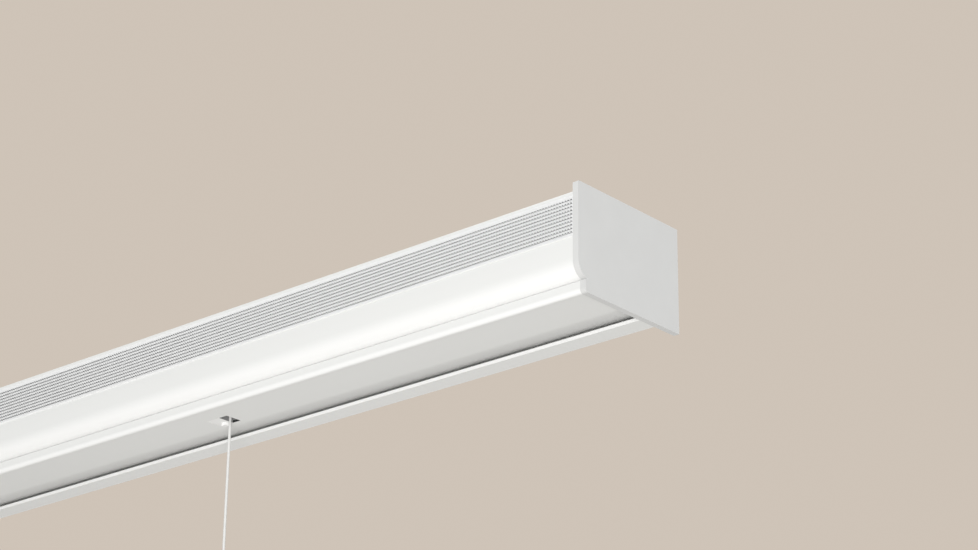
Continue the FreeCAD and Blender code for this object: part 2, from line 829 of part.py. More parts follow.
def make_keeper(side):
    """An arch over the drum that keeps the cord's turns on it. It stands on the cradle's fence."""
    gap = size.seat_clearance * HALF
    body = new_body(f"drum_keeper_{side}", cord_places[side] + wall_left + gap)
    outer = size.cradle_radius
    inner = outer - size.keeper_wall
    left, right = size.axis_depth - outer, size.axis_depth + outer
    foot = floor_top + size.cradle_radius * HALF
    wall = size.keeper_wall
    section = sketch_on(body, "YZ_Plane")
    outline(section, [
        (right, foot),
        (right, axis_height),
        (size.axis_depth, axis_height + outer, outer, 1),
        (left, axis_height, outer, 1),
        (left, curve_start),
        (left + wall, curve_start),
        (left + wall, axis_height),
        (size.axis_depth, axis_height + inner, inner, -1),
        (right - wall, axis_height, inner, -1),
        (right - wall, foot),
    ])
    length = wall_right - wall_left - gap * 2
    pad(body, section, length)
    window = sketch_on(body, "XY_Plane", axis_height)
    half_window = size.keeper_window_width * HALF
    rectangle(window, size.keeper_window_inset, length - size.keeper_window_inset,
              size.axis_depth - half_window, size.axis_depth + half_window)
    doc.recompute()
    cut_deep(body, window, outer + size.cut_overrun, backwards=True)


def make_eyelet(side):
    body = new_body(f"cord_eyelet_{side}", cord_places[side], cord_depth, floor_top + size.cradle_floor)
    lip = size.eyelet_edge_radius
    turned(body, [
        (size.eyelet_bore_radius, lip),
        (size.eyelet_bore_radius + lip, ZERO, lip, 1),
        (size.eyelet_radius, ZERO),
        (size.eyelet_radius, size.eyelet_height - lip),
        (size.eyelet_radius - lip, size.eyelet_height, lip, 1),
        (size.eyelet_bore_radius + lip * HALF, size.eyelet_height),
        (size.eyelet_bore_radius, size.eyelet_height - lip * HALF),
    ], axis="V_Axis")


# Cords

def make_cord(side):
    """The taut cord, straight from the drum's tangent down to its fitting."""
    body = new_body(f"lift_cord_{side}", cord_places[side], cord_depth, axis_height)
    section = sketch_on(body, "XY_Plane")
    circle(section, ZERO, ZERO, size.cord_diameter * HALF)
    pad(body, section, size.cord_end_drop - size.axis_drop, backwards=True)


def make_fitting(side):
    """A turned barrel on the cord's end with a flat eye below it."""
    body = new_body(f"cord_end_fitting_{side}", cord_places[side], cord_depth, -size.cord_end_drop)
    radius, height = size.fitting_radius, size.fitting_height
    taper = radius * HALF
    turned(body, [
        (ZERO, ZERO),
        (ZERO, -height),
        (radius - taper * HALF, -height),
        (radius, taper * HALF - height, taper * HALF, 1),
        (radius, -taper * 2),
        (radius - taper, ZERO),
    ], axis="V_Axis")
    eye_height = -(height + size.fitting_eye_bore_radius + taper * HALF)
    eye = sketch_on(body, "XZ_Plane", -(size.fitting_eye_thickness * HALF))
    circle(eye, ZERO, eye_height, size.fitting_eye_radius)
    doc.recompute()
    pad(body, eye, size.fitting_eye_thickness)
    hole = sketch_on(body, "XZ_Plane")
    circle(hole, ZERO, eye_height, size.fitting_eye_bore_radius)
    doc.recompute()
    cut_through(body, hole)


# Motor

def make_motor():
    """The sealed tube, with a groove near each end where it is crimped on what it holds."""
    body = on_axis("motor_tube", motor_left)
    edge = size.motor_end_radius
    corners = [
        (ZERO, ZERO),
        (size.motor_length, ZERO),
        (size.motor_length, size.motor_radius - edge),
        (size.motor_length - edge, size.motor_radius, edge, 1),
    ]
    half_crimp = size.crimp_width * HALF
    crimped = size.motor_radius - size.crimp_depth
    for middle in (size.motor_length - size.crimp_inset, size.crimp_inset):
        corners += [
            (middle + half_crimp, size.motor_radius),
            (middle + half_crimp * HALF, crimped),
            (middle - half_crimp * HALF, crimped),
            (middle - half_crimp, size.motor_radius),
        ]
    corners.append((ZERO, size.motor_radius))
    turned(body, corners)
    bore = sketch_on(body, "YZ_Plane", size.motor_length)
    circle(bore, ZERO, ZERO, size.spindle_radius + size.running_clearance)
    doc.recompute()
    cut_deep(body, bore, size.spindle_length + size.seat_clearance)


def make_head():
    """The motor's head, which stands on the rail's floor and holds the button and the socket."""
    body = new_body("motor_head", size.head_length * HALF - half_rail)
    block = sketch_on(body, "YZ_Plane")
    saddle_section(block, size.head_radius, None)
    pad(body, block, size.head_length, symmetric=True)
    stem = size.button_radius + size.guide_clearance
    guide = sketch_on(body, "XY_Plane", floor_top)
    circle(guide, ZERO, size.button_depth, stem)
    doc.recompute()
    cut_deep(body, guide, size.button_shelf, backwards=True)
    room = sketch_on(body, "XY_Plane", floor_top + size.button_shelf)
    circle(room, ZERO, size.button_depth, size.button_collar_radius + size.guide_clearance)
    doc.recompute()
    headroom = size.button_travel + size.seat_clearance * 2
    cut_deep(body, room, size.button_collar_height + headroom, backwards=True)
    recess = sketch_on(body, "XY_Plane", floor_top)
    reach_x = size.socket_width * HALF + size.shaft_clearance
    reach_y = size.socket_height * HALF + size.shaft_clearance
    rectangle(recess, -reach_x, reach_x, size.socket_depth - reach_y, size.socket_depth + reach_y)
    doc.recompute()
    cut_deep(body, recess, size.socket_length - size.rail_wall * HALF, backwards=True)


def make_button():
    """The setting button: its collar rests on a shelf in the head and its cap stands below the rail."""
    body = new_body("setting_button", size.head_length * HALF - half_rail, size.button_depth, floor_top)
    low = -(size.rail_wall + size.button_reach)
    shelf_top = size.button_shelf
    edge = size.button_edge_radius
    turned(body, [
        (ZERO, low),
        (size.button_radius - edge, low),
        (size.button_radius, low + edge, edge, 1),
        (size.button_radius, shelf_top),
        (size.button_collar_radius, shelf_top),
        (size.button_collar_radius, shelf_top + size.button_collar_height),
        (ZERO, shelf_top + size.button_collar_height),
    ], axis="V_Axis")


def make_socket():
    body = new_body("charge_socket", size.head_length * HALF - half_rail, size.socket_depth,
                    floor_top - size.rail_wall * HALF)
    shell = sketch_on(body, "XY_Plane")
    half_width, half_height = size.socket_width * HALF, size.socket_height * HALF
    rectangle(shell, -half_width, half_width, -half_height, half_height)
    pad(body, shell, size.socket_length)
    hollow = sketch_on(body, "XY_Plane")
    wall = size.socket_wall
    rectangle(hollow, wall - half_width, half_width - wall, wall - half_height, half_height - wall)
    doc.recompute()
    cut_deep(body, hollow, size.socket_length - wall, backwards=True)
    contact = sketch_on(body, "XY_Plane", wall)
    half_contact = size.socket_contact_width * HALF
    half_thickness = size.socket_contact_thickness * HALF
    rectangle(contact, -half_contact, half_contact, -half_thickness, half_thickness)
    pad(body, contact, size.socket_length - wall)


def make_saddle(name, x):
    body = new_body(f"motor_saddle_{name}", x)
    block = sketch_on(body, "YZ_Plane")
    saddle_section(block, size.cradle_radius, axis_height + size.cradle_radius * HALF)
    pad(body, block, size.saddle_length)
    snap_bore(body, ZERO, size.motor_radius + size.running_clearance, size.saddle_snap_width,
              size.saddle_length)


# Brackets

def round_leg(body, feature, radius, drop):
    """Round the two corners of the leg's lower end, whose edges run through the sheet."""
    doc.recompute()
    names = []
    for number, edge in enumerate(feature.Shape.Edges, start=1):
        box = edge.BoundBox
        if box.XLength < NEAR and box.ZLength < NEAR and abs(box.ZMin + drop.value) < NEAR:
            names.append(f"Edge{number}")
    fillet = body.newObject("PartDesign::Fillet", f"{body.Name}_corners")
    fillet.Base = (feature, names)
    bind(fillet, "Radius", radius)
    body.Tip = fillet


def make_bracket(side):
    body = new_body(f"mounting_bracket_{side}", bracket_place * turns[side])
    sheet_metal = size.bracket_thickness
    bend = size.bracket_bend_radius
    wall_face = size.plate_depth
    bead_end = size.bead_front + size.bead_width
    slope = size.bead_slope
    strip = sketch_on(body, "YZ_Plane", -size.bracket_edge)
    outline(strip, [
        (size.bead_front - slope, ZERO),
        (size.bead_front - slope, strip_under),
        (size.bead_front, rail_top),
        (bead_end - slope, rail_top),
        (bead_end, strip_under),
        (wall_face - bend, strip_under),
        (wall_face - sheet_metal, -bend, bend - sheet_metal, -1),
        (wall_face - sheet_metal, -size.bracket_leg),
        (wall_face, -size.bracket_leg),
        (wall_face, -bend),
        (wall_face - bend, ZERO, bend, 1),
    ])
    pad(body, strip, size.bracket_width)
    middle = size.bracket_width * HALF - size.bracket_edge
    half_tongue = size.tongue_width * HALF
    window = sketch_on(body, "XY_Plane")
    rectangle(window, middle - half_tongue, middle + half_tongue,
              size.tongue_tip, size.tongue_back - sheet_metal)
    screw = size.screw_radius
    for depth in (size.screw_front, size.screw_rear):
        circle(window, ZERO, depth, screw)
    doc.recompute()
    cut_through(body, window)
    tongue = sketch_on(body, "YZ_Plane", middle - half_tongue)
    outline(tongue, [
        (size.tongue_back, strip_under),
        (size.tongue_back - sheet_metal, strip_under),
        (size.tongue_back - sheet_metal, tongue_top),
        (size.tongue_tip, tongue_top),
        (size.tongue_tip, tongue_under),
        (size.tongue_back, tongue_under),
    ])
    pad(body, tongue, size.tongue_width)
    rear_bead = sketch_on(body, "YZ_Plane", -size.bracket_edge)
    bead_middle = rail_back - size.rear_lip * HALF
    bead_half = size.bead_width * HALF
    outline(rear_bead, [
        (bead_middle + bead_half, strip_under),
        (bead_middle - bead_half, strip_under),
        (bead_middle - bead_half + slope, rail_top),
        (bead_middle + bead_half - slope, rail_top),
    ])
    pad(body, rear_bead, size.rear_bead_width)
    pivot = sketch_on(body, "XY_Plane")
    circle(pivot, size.lever_offset, size.lever_pivot_depth, size.rivet_radius)
    doc.recompute()
    hole = body.newObject("PartDesign::Hole", f"{body.Name}_pivot_hole")
    hole.Profile = pivot
    hole.Threaded = False
    hole.DepthType = "ThroughAll"
    hole.HoleCutType = "Countersink"
    hole.HoleCutCustomValues = True
    hole.HoleCutCountersinkAngle = 90
    shank = (size.rivet_radius + size.shaft_clearance) * 2
    bind(hole, "Diameter", shank)
    bind(hole, "HoleCutDiameter", shank + size.rivet_sink_depth * 2)
    leg_holes = sketch_on(body, "XZ_Plane", -wall_face)
    for drop in (size.wall_screw_upper, size.wall_screw_lower):
        circle(leg_holes, ZERO, -drop, screw)
    doc.recompute()
    leg = cut_deep(body, leg_holes, sheet_metal + size.cut_overrun, backwards=True)
    round_leg(body, leg, size.bracket_corner_radius, size.bracket_leg)


def lever_place(side):
    return bracket_place * turns[side] + size.lever_offset


def make_lever(side):
    """Arm above the rail, hub through its mouth and cam under its rear lip."""
    body = new_body(f"lock_lever_{side}", lever_place(side), size.lever_pivot_depth)
    cam = sketch_on(body, "XY_Plane", cam_under)
    slot_outline(cam, size.lever_cam_radius, lever_cam_length)
    pad(body, cam, size.lever_cam_thickness)
    hub = sketch_on(body, "XY_Plane", cam_top)
    circle(hub, ZERO, ZERO, size.lever_hub_radius)
    pad(body, hub, lever_arm_top - cam_top)
    arm = sketch_on(body, "XY_Plane", lever_arm_under)
    slot_outline(arm, size.lever_arm_radius, lever_arm_length - size.lever_arm_radius)
    pad(body, arm, size.lever_arm_thickness)
    bore = sketch_on(body, "XY_Plane")
    circle(bore, ZERO, ZERO, size.rivet_radius + size.running_clearance)
    doc.recompute()
    cut_through(body, bore)


def make_rivet(side):
    body = new_body(f"lever_rivet_{side}", lever_place(side), size.lever_pivot_depth)
    head_top = cam_under - size.seat_clearance
    head_base = head_top - size.rivet_head_height
    turned(body, [
        (ZERO, ZERO),
        (ZERO, head_base),
        (size.rivet_head_radius - size.rivet_head_height * HALF, head_base),
        (size.rivet_head_radius, head_base + size.rivet_head_height * HALF,
         size.rivet_head_height * HALF, 1),
        (size.rivet_head_radius, head_top),
        (size.rivet_radius, head_top),
        (size.rivet_radius, -size.rivet_sink_depth),
        (size.rivet_radius + size.rivet_sink_depth, ZERO),
    ], axis="V_Axis")


make_rail()
make_tape()
make_shaft()
make_bush()
make_coupling()
make_collars()
make_motor()
make_head()
make_button()
make_socket()
make_saddle("outer", motor_left + size.saddle_inset)
make_saddle("inner", motor_right - size.saddle_inset - size.saddle_length)
for side in ("right", "left"):
    make_plate(side)
    make_bracket(side)
    make_lever(side)
    make_rivet(side)
    make_drum(side)
    make_anchor(side)
    make_winding(side)
    make_cradle(side)
    make_keeper(side)
    make_eyelet(side)
    make_cord(side)
    make_fitting(side)

doc.recompute()

NODES = ["shaft_collars", "collar_grub_screws"]
NODES += [thing.Label for thing in doc.Objects if thing.TypeId == "PartDesign::Body"]

for thing in doc.Objects:
    if "Invalid" in thing.State or "Error" in thing.State:
        raise RuntimeError(f"{thing.Label} failed: {thing.State}")
pieces = {label: doc.getObjectsByLabel(label)[0] for label in NODES}
for label, piece in pieces.items():
    if piece.Shape.isNull() or not piece.Shape.isValid():
        raise RuntimeError(f"{label} has no valid shape")

os.makedirs("parts", exist_ok=True)
for label, piece in pieces.items():
    piece.Shape.exportStep(f"parts/{label}.step")
    print(label, len(piece.Shape.Solids), round(piece.Shape.Volume, 1))
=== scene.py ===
"""Looks of a Roman blind's white headrail: its finishes, hook tape, lift cords and studio."""

import json
import math
import random

import bpy
from mathutils import Matrix, Vector


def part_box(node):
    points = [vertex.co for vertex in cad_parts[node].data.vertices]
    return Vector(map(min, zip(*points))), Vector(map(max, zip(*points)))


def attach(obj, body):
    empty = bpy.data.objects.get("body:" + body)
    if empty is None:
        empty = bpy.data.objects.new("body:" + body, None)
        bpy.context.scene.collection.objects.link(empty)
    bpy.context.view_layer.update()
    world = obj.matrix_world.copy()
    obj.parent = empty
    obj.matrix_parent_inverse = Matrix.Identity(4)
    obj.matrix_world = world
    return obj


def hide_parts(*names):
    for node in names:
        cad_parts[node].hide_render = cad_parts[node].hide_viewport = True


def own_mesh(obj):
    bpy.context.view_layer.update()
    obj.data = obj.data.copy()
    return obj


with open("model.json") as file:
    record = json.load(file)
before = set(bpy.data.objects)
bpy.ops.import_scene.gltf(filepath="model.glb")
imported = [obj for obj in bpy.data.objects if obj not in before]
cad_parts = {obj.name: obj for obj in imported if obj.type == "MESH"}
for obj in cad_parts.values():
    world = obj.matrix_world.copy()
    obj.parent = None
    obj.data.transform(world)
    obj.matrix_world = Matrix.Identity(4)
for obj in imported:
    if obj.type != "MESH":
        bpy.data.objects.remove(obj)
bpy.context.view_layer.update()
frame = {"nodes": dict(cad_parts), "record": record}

MM = 0.001
FULL_TURN = 2 * math.pi
SHARP_ANGLE = math.radians(50)
SIDES = ("right", "left")

# Camera, solved from the edges of the end plate and the rail
IMAGE_WIDTH = 978
FOCAL_PIXELS = 2523.91
SENSOR_WIDTH = 36.0
CAMERA_PLACE = Vector((1.10704, -0.84960, -0.47723))
CAMERA_PITCH = math.radians(22.4778)
CAMERA_YAW = math.radians(41.3634)
CAMERA_ROLL = math.radians(0.5966)
CAMERA_CLIP = (0.01, 100.0)

# Studio: each lamp's place, target, width and power in watts, then what lies round them
LAMPS = {
    "key": ((2.12, -2.24, -1.34), (0.2, -0.03, -0.03), 1.4, 72.0),
    "top": ((0.0, 0.4, 2.6), (0.0, 0.0, 0.0), 3.0, 48.0),
    "back": ((-2.2, 2.6, 0.6), (0.0, 0.0, 0.0), 2.4, 45.0),
}
AMBIENT = (0.99, 1.0, 0.995)
AMBIENT_STRENGTH = 0.54
BACKDROP = (0.69, 0.61, 0.53)
BACKDROP_STRENGTH = 0.9
FLOOR_COLOUR = (0.74, 0.72, 0.695)
FLOOR_REACH = 30.0
FLOOR_LEVEL = -5.0

# Drive axis, on which the drums and their cord turn
AXIS_Y = -24.7 * MM
AXIS_Z = -26.5 * MM

# Lift cords
CORD_RADIUS = 0.7 * MM
CORD_SIDES = 24
CORD_STEPS = 640
CORD_PLACES = {"right": 194.5 * MM, "left": -194.5 * MM}
CORD_Y = -13.7 * MM
CORD_TOP = AXIS_Z
CORD_END = -123.0 * MM
BRAID_STRANDS = 8
BRAID_LAY = 4.2 * MM
BRAID_RELIEF = 0.05 * MM

# Cord on the drums
WINDING_RADIUS = CORD_Y - AXIS_Y
WINDING_LENGTH = 25.0 * MM
WINDING_SIDES = 10
WINDING_STEPS = 56

# Whites of the rail, and where they change: painted highlight on the lower front and the low
# edges, painted shade on the underside
RAIL_WHITE = (0.885, 0.887, 0.872)
HIGHLIGHT_WHITE = (0.975, 0.975, 0.965)
SHADE_WHITE = (0.65, 0.652, 0.641)
HIGHLIGHT_BAND = (-50.0 * MM, -51.2 * MM)
FOOT_BAND = (-36.5 * MM, -42.5 * MM)
FOOT_END = (-46.8 * MM, -46.6 * MM)
NOSE_BACK = (-34.4 * MM, -34.6 * MM)
LIP_FRONT = (0.0, 1.0 * MM)
LIP_Z = -51.6 * MM
LIP_REACH = 1.0 * MM
SHADE_BAND = (-8.5 * MM, 3.2 * MM)
UNDERSIDE_Z = -50.35 * MM
UNDERSIDE_REACH = 0.75 * MM

# Open part of each cord outlet, right of the cradle's plug, and the painted shade on its cut
# walls
OUTLET_SHADE = (0.03, 0.03, 0.03)
OUTLET_Y = -15.7 * MM
OUTLET_DEPTH = 9.8 * MM
OUTLET_Z = -50.25 * MM
OUTLET_THICKNESS = 1.5 * MM
OUTLET_MIDDLE = 1.73 * MM
OUTLET_WIDTH = 5.96 * MM
OUTLET_MARGIN = 0.04 * MM

# Cradle: white, with painted shade in mid-grey above its plug
PLUG_WHITE = (0.985, 0.985, 0.975)
CRADLE_SHADE_GREY = (0.27, 0.27, 0.27)
CRADLE_SHADE_FROM = -49.3 * MM
CRADLE_SHADE_HEIGHT = 50.0 * MM

# Hook tape
TAPE_THICKNESS = 0.5 * MM
RIB_PITCH = 0.6 * MM
RIB_HEIGHT = 0.07 * MM
RIB_STEPS = 8
SELVEDGE_WIDTH = 0.9 * MM
SELVEDGE_HEIGHT = 0.12 * MM
WEFT_PITCH = 0.040465378 * MM
HOOK_FIRST_ROW = 2.75 * MM
HOOK_ROW_PITCH = 1.78 * MM
HOOK_ROWS = 10
HOOK_PITCH = 1.64 * MM
HOOK_END_GAP = 0.3 * MM
HOOK_SIDES = 4
HOOK_RADIUS = 0.31 * MM
HOOK_THINNEST = 0.2
HOOK_TAPER = 2.0 / MM
HOOK_BEND = 0.95 * MM
HOOK_LEAN = 0.05
HOOK_SEED = 11
# One hook from its foot to its tip, in millimetres: right, out of the tape and up
HOOK_LINE = (
    (0, -0.1, 0),
    (0, 0.6, 0.24),
    (-0.06, 0.82, 0.3),
    (-0.26, 0.86, 0.08),
    (-0.66, 0.8, -0.5),
)

# Noise: cells in a metre, octaves, and the squeeze in x, y and z where the grain runs long
ORANGE_PEEL = (900.0, 2.0)
COAT_CLOUDS = (14.0, 3.0, (0.3, 1, 1))
COAT_GLOSS = (300.0, 3.0)
DIE_LINES = (500.0, 2.0, (0.02, 1, 1))
PLASTIC_CLOUDS = (60.0, 3.0)
PLASTIC_GLOSS = (220.0, 3.0)
PLASTIC_GRAIN = (1800.0, 2.0)
COARSE_GRAIN = (1100.0, 2.0)
PLATING_PATCHES = (90.0, 4.0)
METAL_LINES = (1200.0, 3.0)
ZINC_GLOSS = (160.0, 3.0)
ZINC_GRAIN = (1500.0, 3.0)
NYLON_CLOUDS = (400.0, 2.0, (1, 1, 2))
NYLON_GLOSS = (500.0, 3.0)
NYLON_GRAIN = (2600.0, 3.0)
FILAMENT_CLOUDS = (700.0, 3.0)
FILAMENT_GLOSS = (900.0, 3.0)
FILAMENT_GRAIN = (5000.0, 3.0)
BRAID_FIBRES = (5200.0, 2.0, (1, 1, 0.15))
FLOOR_CLOUDS = (0.6, 3.0)

# Span that noise mostly keeps to
NOISE_LOW = 0.3
NOISE_HIGH = 0.7

# Crystals in a metre of zinc plate, and how far apart a wave texture's bands are at scale one
ZINC_CRYSTALS = 260.0
WAVE_LENGTH = FULL_TURN / 20

# Depths of relief
POLISHED = 0.004 * MM
SATIN = 0.006 * MM
GRAINED = 0.012 * MM
COARSE = 0.02 * MM
WOVEN = 0.03 * MM


# Finishes

class Finish:
    """A procedural material: one shader, with textures for its colour, roughness and relief."""

    def __init__(self, name, colour, roughness, **numbers):
        self.material = bpy.data.materials.new(name)
        self.material.use_nodes = True
        self.tree = self.material.node_tree
        self.surface = self.tree.nodes["Principled BSDF"]
        self.surface.inputs["Base Color"].default_value = (*colour, 1.0)
        self.surface.inputs["Roughness"].default_value = roughness
        self.colour = colour
        self.height = None
        for socket, number in numbers.items():
            self.surface.inputs[socket.replace("_", " ")].default_value = number

    def node(self, kind, **settings):
        made = self.tree.nodes.new(kind)
        for name, value in settings.items():
            setattr(made, name, value)
        return made

    def link(self, source, target):
        self.tree.links.new(source, target)

    def place(self, squeeze=(1, 1, 1)):
        """Coordinates in metres, squeezed along an axis where the grain runs long."""
        source = self.node("ShaderNodeTexCoord")
        mapping = self.node("ShaderNodeMapping")
        mapping.inputs["Scale"].default_value = squeeze
        self.link(source.outputs["Object"], mapping.inputs["Vector"])
        return mapping.outputs["Vector"]

    def along(self, axis):
        """The coordinate along one axis."""
        parts = self.node("ShaderNodeSeparateXYZ")
        self.link(self.place(), parts.inputs["Vector"])
        return parts.outputs[axis]

    def noise(self, scale, detail, squeeze=(1, 1, 1)):
        texture = self.node("ShaderNodeTexNoise")
        texture.inputs["Scale"].default_value = scale
        texture.inputs["Detail"].default_value = detail
        self.link(self.place(squeeze), texture.inputs["Vector"])
        return texture.outputs["Fac"]

    def cells(self, scale):
        texture = self.node("ShaderNodeTexVoronoi")
        texture.inputs["Scale"].default_value = scale
        self.link(self.place(), texture.inputs["Vector"])
        return texture.outputs["Distance"]

    def bands(self, pitch):
        """Bands that follow each other along the x axis."""
        texture = self.node("ShaderNodeTexWave", bands_direction="X")
        texture.inputs["Scale"].default_value = WAVE_LENGTH / pitch
        self.link(self.place(), texture.inputs["Vector"])
        return texture.outputs["Fac"]

    def spread(self, source, low, high, start=NOISE_LOW, end=NOISE_HIGH):
        """The source's span, start to end, stretched to low to high."""
        made = self.node("ShaderNodeMapRange")
        spans = {"From Min": start, "From Max": end, "To Min": low, "To Max": high}
        for socket, number in spans.items():
            made.inputs[socket].default_value = number
        self.link(source, made.inputs["Value"])
        return made.outputs["Result"]

    def ramp(self, axis, nought, one):
        """A mask that goes from nought to one between two places along an axis."""
        return self.spread(self.along(axis), 0.0, 1.0, nought, one)

    def within(self, axis, middle, reach):
        """A mask that is one where a coordinate lies within a reach of a middle."""
        made = self.node("ShaderNodeMath", operation="COMPARE")
        made.inputs[1].default_value = middle
        made.inputs[2].default_value = reach
        self.link(self.along(axis), made.inputs[0])
        return made.outputs["Value"]

    def combine(self, operation, first, second):
        made = self.node("ShaderNodeMath", operation=operation)
        self.link(first, made.inputs[0])
        self.link(second, made.inputs[1])
        return made.outputs["Value"]

    def both(self, first, second):
        return self.combine("MULTIPLY", first, second)

    def either(self, first, second):
        return self.combine("MAXIMUM", first, second)

    def vary_colour(self, source, share, start=NOISE_LOW, end=NOISE_HIGH):
        """Darken the colour by up to a share of it where the source is low."""
        mix = self.node("ShaderNodeMix", data_type="RGBA")
        mix.inputs["A"].default_value = (*(part * (1 - share) for part in self.colour), 1.0)
        mix.inputs["B"].default_value = (*self.colour, 1.0)
        self.link(self.spread(source, 0.0, 1.0, start, end), mix.inputs["Factor"])
        self.link(mix.outputs["Result"], self.surface.inputs["Base Color"])

    def second_colour(self, mask, colour):
        """Another colour where the mask is one."""
        mix = self.node("ShaderNodeMix", data_type="RGBA")
        mix.inputs["B"].default_value = (*colour, 1.0)
        base = self.surface.inputs["Base Color"]
        self.link(base.links[0].from_socket, mix.inputs["A"])
        self.link(mask, mix.inputs["Factor"])
        self.link(mix.outputs["Result"], base)

    def vary_roughness(self, source, low, high):
        self.link(self.spread(source, low, high), self.surface.inputs["Roughness"])

    def relief(self, source, depth):
        """Raise the surface by up to a depth in metres. Reliefs add up."""
        bump = self.node("ShaderNodeBump")
        bump.inputs["Distance"].default_value = depth
        self.link(source, bump.inputs["Height"])
        if self.height:
            self.link(self.height, bump.inputs["Normal"])
        self.height = bump.outputs["Normal"]
        self.link(self.height, self.surface.inputs["Normal"])


def powder_coat():
    """Satin white powder coat: a faint orange peel over the long lines of the extrusion."""
    finish = Finish("rail_powder_coat", RAIL_WHITE, roughness=0.4)
    finish.vary_colour(finish.noise(*COAT_CLOUDS), share=0.012)
    finish.vary_roughness(finish.noise(*COAT_GLOSS), low=0.34, high=0.46)
    finish.relief(finish.noise(*ORANGE_PEEL), GRAINED)
    finish.relief(finish.noise(*DIE_LINES), POLISHED)
    # Painted highlight on the low edges and the lower front, painted shade on the underside and
    # in the outlets' open parts
    paint_highlights(finish)
    shade_underside(finish)
    paint_outlet_shade(finish)
    return finish


def paint_highlights(finish):
    """Painted highlight: a whiter colour on the nose's and the lip's low edges and at the foot
    of the front, where the light catches them.
    """
    front = finish.ramp("Y", *NOSE_BACK)
    lip = finish.both(finish.ramp("Y", *LIP_FRONT), finish.within("Z", LIP_Z, LIP_REACH))
    edge_highlight = finish.both(finish.either(front, lip), finish.ramp("Z", *HIGHLIGHT_BAND))
    foot = finish.both(finish.ramp("Z", *FOOT_BAND), finish.ramp("Z", *FOOT_END))
    finish.second_colour(finish.either(edge_highlight, finish.both(front, foot)), HIGHLIGHT_WHITE)


def shade_underside(finish):
    """Painted shade: the underside's colour darkens towards the rear slot."""
    underside = finish.within("Z", UNDERSIDE_Z, UNDERSIDE_REACH)
    finish.second_colour(finish.both(finish.ramp("Y", *SHADE_BAND), underside), SHADE_WHITE)


def paint_outlet_shade(finish):
    """Painted shade: the cut walls of the outlets' open parts are coloured near black, as they
    lie in the dark.
    """
    walls = finish.both(finish.within("Y", OUTLET_Y, OUTLET_DEPTH / 2 + OUTLET_MARGIN),
                        finish.within("Z", OUTLET_Z, OUTLET_THICKNESS / 2 - OUTLET_MARGIN))
    finish.second_colour(finish.both(walls, at_outlets(finish)), OUTLET_SHADE)


def at_outlets(finish):
    """One in the open part of each outlet, right of the cradle's plug."""
    return finish.either(*(finish.within("X", place + OUTLET_MIDDLE, OUTLET_WIDTH / 2)
                           for place in CORD_PLACES.values()))


def moulded(name, colour, roughness, grain=PLASTIC_GRAIN, depth=GRAINED):
    """Moulded plastic with a fine even grain and a slight cloudiness."""
    finish = Finish(name, colour, roughness)
    finish.vary_colour(finish.noise(*PLASTIC_CLOUDS), share=0.025)
    finish.vary_roughness(finish.noise(*PLASTIC_GLOSS),
                          low=roughness - 0.05, high=roughness + 0.05)
    finish.relief(finish.noise(*grain), depth)
    return finish


def cradle_with_painted_shade():
    """White cradle whose plug is flush with the rail's underside, with painted shade in mid-grey
    above the plug and in the outlets' open parts.
    """
    finish = moulded("cradle_plastic", PLUG_WHITE, 0.45)
    half = CRADLE_SHADE_HEIGHT / 2
    shaded_inside = finish.within("Z", CRADLE_SHADE_FROM + half, half)
    finish.second_colour(finish.either(shaded_inside, at_outlets(finish)), CRADLE_SHADE_GREY)
    return finish


def metal(name, colour, roughness, squeeze=(1, 1, 1)):
    """Metal with fine drawn or pressed lines and soft patches in its plating."""
    finish = Finish(name, colour, roughness, Metallic=1.0)
    finish.vary_colour(finish.noise(*PLATING_PATCHES), share=0.12)
    finish.vary_roughness(finish.noise(*METAL_LINES, squeeze),
                          low=roughness - 0.08, high=roughness + 0.1)
    finish.relief(finish.noise(*METAL_LINES, squeeze), POLISHED)
    return finish


def galvanised(name, colour):
    """Zinc plate with faint crystals of different grey."""
    finish = Finish(name, colour, roughness=0.42, Metallic=1.0)
    finish.vary_colour(finish.cells(ZINC_CRYSTALS), share=0.16, start=0.0)
    finish.vary_roughness(finish.noise(*ZINC_GLOSS), low=0.34, high=0.52)
    finish.relief(finish.noise(*ZINC_GRAIN), POLISHED)
    return finish


def woven_ground():
    """The tape's ground: fine weft threads across the ribs that the mesh has."""
    finish = Finish("tape_woven_nylon", (0.965, 0.968, 0.97), roughness=0.62, Sheen_Weight=0.15)
    finish.vary_colour(finish.noise(*NYLON_CLOUDS), share=0.03)
    finish.vary_roughness(finish.noise(*NYLON_GLOSS), low=0.55, high=0.7)
    finish.relief(finish.bands(WEFT_PITCH), WOVEN)
    finish.relief(finish.noise(*NYLON_GRAIN), GRAINED)
    return finish


def hook_filament():
    """Nylon monofilament coloured near black: partly its own dark grey, partly painted shade
    under and between the hooks.
    """
    finish = Finish("tape_hook_filament", (0.06, 0.06, 0.062), roughness=0.4)
    finish.vary_colour(finish.noise(*FILAMENT_CLOUDS), share=0.18)
    finish.vary_roughness(finish.noise(*FILAMENT_GLOSS), low=0.3, high=0.45)
    finish.relief(finish.noise(*FILAMENT_GRAIN), POLISHED)
    return finish


def braided():
    """White polyester braid. The mesh has its strands, and this has their fibres."""
    finish = Finish("cord_braid", (0.82, 0.815, 0.80), roughness=0.6, Sheen_Weight=0.1)
    fibres = finish.noise(*BRAID_FIBRES)
    finish.vary_colour(fibres, share=0.1)
    finish.vary_roughness(fibres, low=0.52, high=0.7)
    finish.relief(fibres, COARSE)
    return finish


